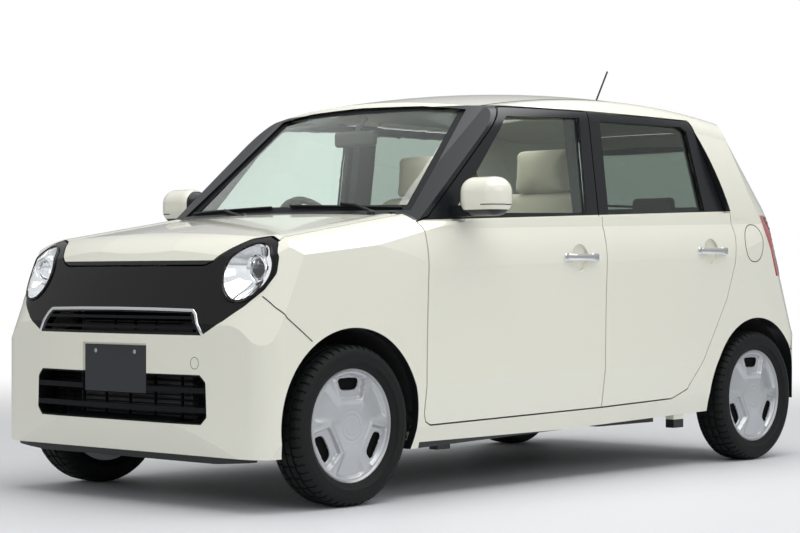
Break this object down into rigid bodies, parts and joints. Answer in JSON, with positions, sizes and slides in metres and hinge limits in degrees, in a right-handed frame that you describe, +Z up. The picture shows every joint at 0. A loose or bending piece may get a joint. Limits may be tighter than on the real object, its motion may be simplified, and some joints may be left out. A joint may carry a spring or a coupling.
{
  "type": "kei car",
  "caption": "Small five-door city car with a hollow cabin, opening doors, hood and tailgate, steered front wheels and free-turning wheels.",
  "frame": {"origin": "on the ground at mid length and mid width, under the standing car", "axes": "+X forward to the nose, +Y to the car's left, +Z up"},
  "size_m": [3.395, 1.83, 1.7242],
  "materials": {
    "paint": "ivory gloss",
    "black_gloss": "gloss",
    "black_plastic": "matte",
    "lamp_clear": "clear",
    "lamp_red": "red lens",
    "clear_glass": "green tint",
    "dark_glass": "privacy tint",
    "plate": "blank plate",
    "radiator_core": "dark core",
    "iron": "cast",
    "tank_plastic": "moulded",
    "exhaust_steel": "dull",
    "chassis_steel": "black coat",
    "seat_fabric": "woven beige",
    "wheel_rim": "silver",
    "tyre": "rubber",
    "bright_handle": "chrome",
    "steering_black": "grained"
  },
  "bodies": {
    "body": {"floor_pan": "chassis_steel", "side_frame_left": "paint", "side_frame_right": "paint", "roof_panel": "paint", "cowl": "black_plastic", "fenders": "paint", "front_bumper": "paint", "rear_bumper": "paint", "grille_mask": "black_gloss", "front_grilles": "black_plastic", "headlamps": "lamp_clear", "tail_lamps": "lamp_red", "windshield": "clear_glass", "arch_liners": "black_plastic", "front_plate": "plate", "radiator": "radiator_core", "engine_block": "iron", "fuel_tank": "tank_plastic", "exhaust": "exhaust_steel", "front_suspension": "chassis_steel", "rear_axle": "chassis_steel", "dashboard": "black_plastic", "front_seats": "seat_fabric", "rear_seat": "seat_fabric", "antenna": "black_plastic"},
    "hood": {"hood": "paint"},
    "tailgate": {"tailgate": "paint", "tailgate_glass": "dark_glass"},
    "steering": {"steering_wheel": "steering_black"},
    "knuckle_left": {"knuckle_left": "chassis_steel"},
    "knuckle_right": {"knuckle_right": "chassis_steel"},
    "front_door_left": {"front_door_left": "paint", "front_door_glass_left": "clear_glass", "front_handle_left": "bright_handle", "mirror_left": "paint"},
    "rear_door_left": {"rear_door_left": "paint", "rear_door_glass_left": "dark_glass", "rear_handle_left": "bright_handle"},
    "wheel_front_left": {"tyre_front_left": "tyre", "wheel_front_left": "wheel_rim"},
    "wheel_rear_left": {"tyre_rear_left": "tyre", "wheel_rear_left": "wheel_rim"},
    "front_door_right": {"front_door_right": "paint", "front_door_glass_right": "clear_glass", "front_handle_right": "bright_handle", "mirror_right": "paint"},
    "rear_door_right": {"rear_door_right": "paint", "rear_door_glass_right": "dark_glass", "rear_handle_right": "bright_handle"},
    "wheel_front_right": {"tyre_front_right": "tyre", "wheel_front_right": "wheel_rim"},
    "wheel_rear_right": {"tyre_rear_right": "tyre", "wheel_rear_right": "wheel_rim"}
  },
  "joints": [
    {"name": "front_door_left_hinge", "type": "hinge", "parent": "body", "child": "front_door_left", "pos_m": [0.862, 0.7385, 0.6], "axis": [0, 0, -1], "range_deg": [0, 65]},
    {"name": "rear_door_left_hinge", "type": "hinge", "parent": "body", "child": "rear_door_left", "pos_m": [-0.195, 0.7385, 0.6], "axis": [0, 0, -1], "range_deg": [0, 65]},
    {"name": "steer_left", "type": "hinge", "parent": "body", "child": "knuckle_left", "pos_m": [1.23, 0.63, 0.278], "axis": [0, 0, 1], "range_deg": [-33, 33]},
    {"name": "front_wheel_left_spin", "type": "hinge", "parent": "knuckle_left", "child": "wheel_front_left", "pos_m": [1.23, 0.6525, 0.278], "axis": [0, 1, 0], "continuous": true},
    {"name": "rear_wheel_left_spin", "type": "hinge", "parent": "body", "child": "wheel_rear_left", "pos_m": [-1.29, 0.6525, 0.278], "axis": [0, 1, 0], "continuous": true},
    {"name": "front_door_right_hinge", "type": "hinge", "parent": "body", "child": "front_door_right", "pos_m": [0.862, -0.7385, 0.6], "axis": [0, 0, 1], "range_deg": [0, 65]},
    {"name": "rear_door_right_hinge", "type": "hinge", "parent": "body", "child": "rear_door_right", "pos_m": [-0.195, -0.7385, 0.6], "axis": [0, 0, 1], "range_deg": [0, 65]},
    {"name": "steer_right", "type": "hinge", "parent": "body", "child": "knuckle_right", "pos_m": [1.23, -0.63, 0.278], "axis": [0, 0, 1], "range_deg": [-33, 33]},
    {"name": "front_wheel_right_spin", "type": "hinge", "parent": "knuckle_right", "child": "wheel_front_right", "pos_m": [1.23, -0.6525, 0.278], "axis": [0, 1, 0], "continuous": true},
    {"name": "rear_wheel_right_spin", "type": "hinge", "parent": "body", "child": "wheel_rear_right", "pos_m": [-1.29, -0.6525, 0.278], "axis": [0, 1, 0], "continuous": true},
    {"name": "hood_hinge", "type": "hinge", "parent": "body", "child": "hood", "pos_m": [0.885, 0, 1.007], "axis": [0, -1, 0], "range_deg": [0, 60]},
    {"name": "tailgate_hinge", "type": "hinge", "parent": "body", "child": "tailgate", "pos_m": [-1.402, 0, 1.443], "axis": [0, 1, 0], "range_deg": [0, 78]},
    {"name": "steering_wheel_turn", "type": "hinge", "parent": "body", "child": "steering", "pos_m": [0.385, -0.33, 0.945], "axis": [-0.9063, 0, 0.4226], "range_deg": [-500, 500]}
  ],
  "couplings": [
    {"joint": "steer_right", "follows": "steer_left", "ratio": 1},
    {"joint": "steering_wheel_turn", "follows": "steer_left", "ratio": 15}
  ]
}
